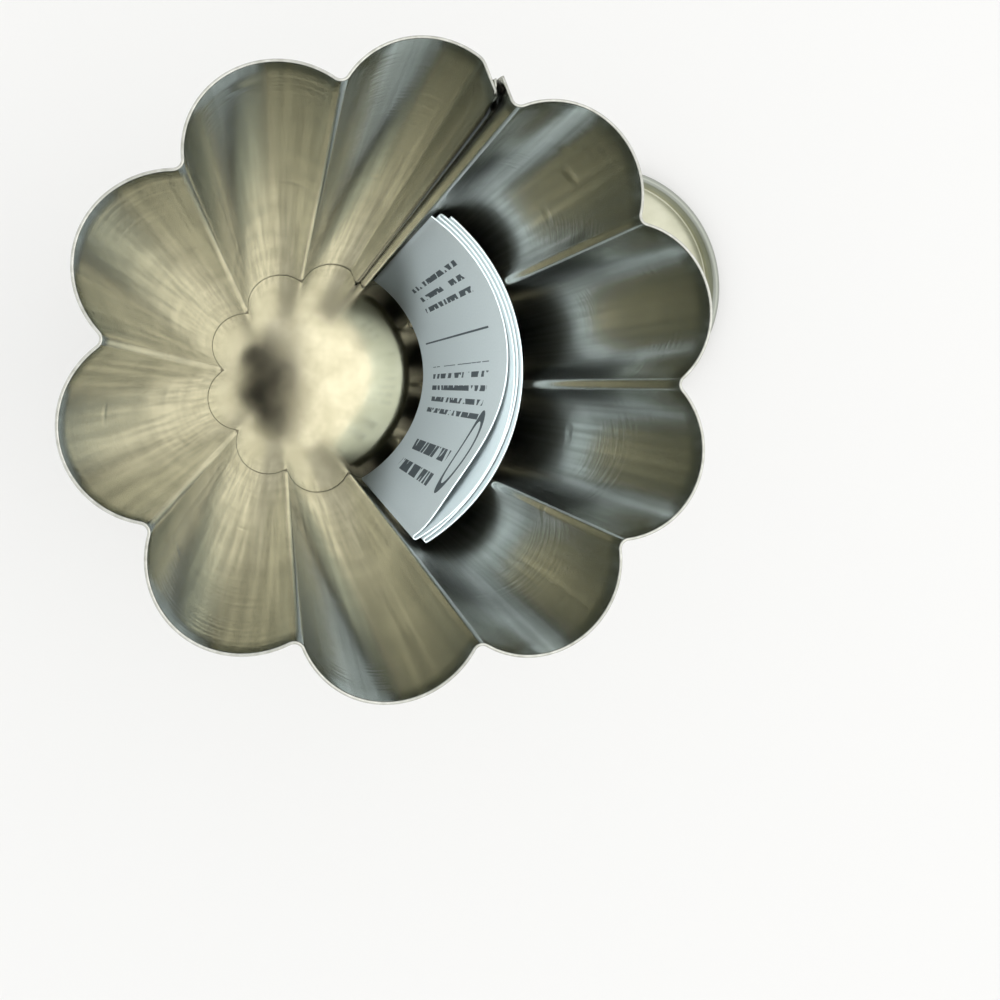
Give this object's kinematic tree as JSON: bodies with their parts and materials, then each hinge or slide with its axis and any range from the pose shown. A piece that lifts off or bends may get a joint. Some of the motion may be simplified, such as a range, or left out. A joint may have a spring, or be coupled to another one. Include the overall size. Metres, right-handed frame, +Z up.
{
  "type": "scalloped bread mould",
  "caption": "Fluted tinplate tube mould for baking scalloped loaves, closed by a lock seam and a round push-on cap, with a loose cap beside it and a folded leaflet inside.",
  "frame": {"origin": "middle of the flat underside of the cap on the tube's foot, on the tube's axis", "axes": "+Z up along the tube to its open mouth, +X towards the loose cap that lies beside the tube"},
  "size_m": [0.1843, 0.0814, 0.2037],
  "materials": {
    "tube_tinplate": "rolled tinplate, dull and slightly streaked along the tube",
    "cap_tinplate": "drawn tinplate, satin",
    "paper": "uncoated white paper"
  },
  "bodies": {
    "base_cap": {"base_cap": "cap_tinplate"},
    "tube": {"tube": "tube_tinplate"},
    "loose_cap": {"loose_cap": "cap_tinplate"},
    "leaflet": {"leaflet": "paper"}
  },
  "joints": [
    {"name": "tube_lift", "type": "slide", "parent": "base_cap", "child": "tube", "axis": [0, 0, 1], "range_m": [0, 0.06]},
    {"name": "loose_cap_lift", "type": "slide", "parent": "base_cap", "child": "loose_cap", "axis": [0, 0, 1], "range_m": [0, 0.22]},
    {"name": "leaflet_slide", "type": "slide", "parent": "tube", "child": "leaflet", "axis": [0, 0, 1], "range_m": [-0.0243, 0.19]}
  ]
}
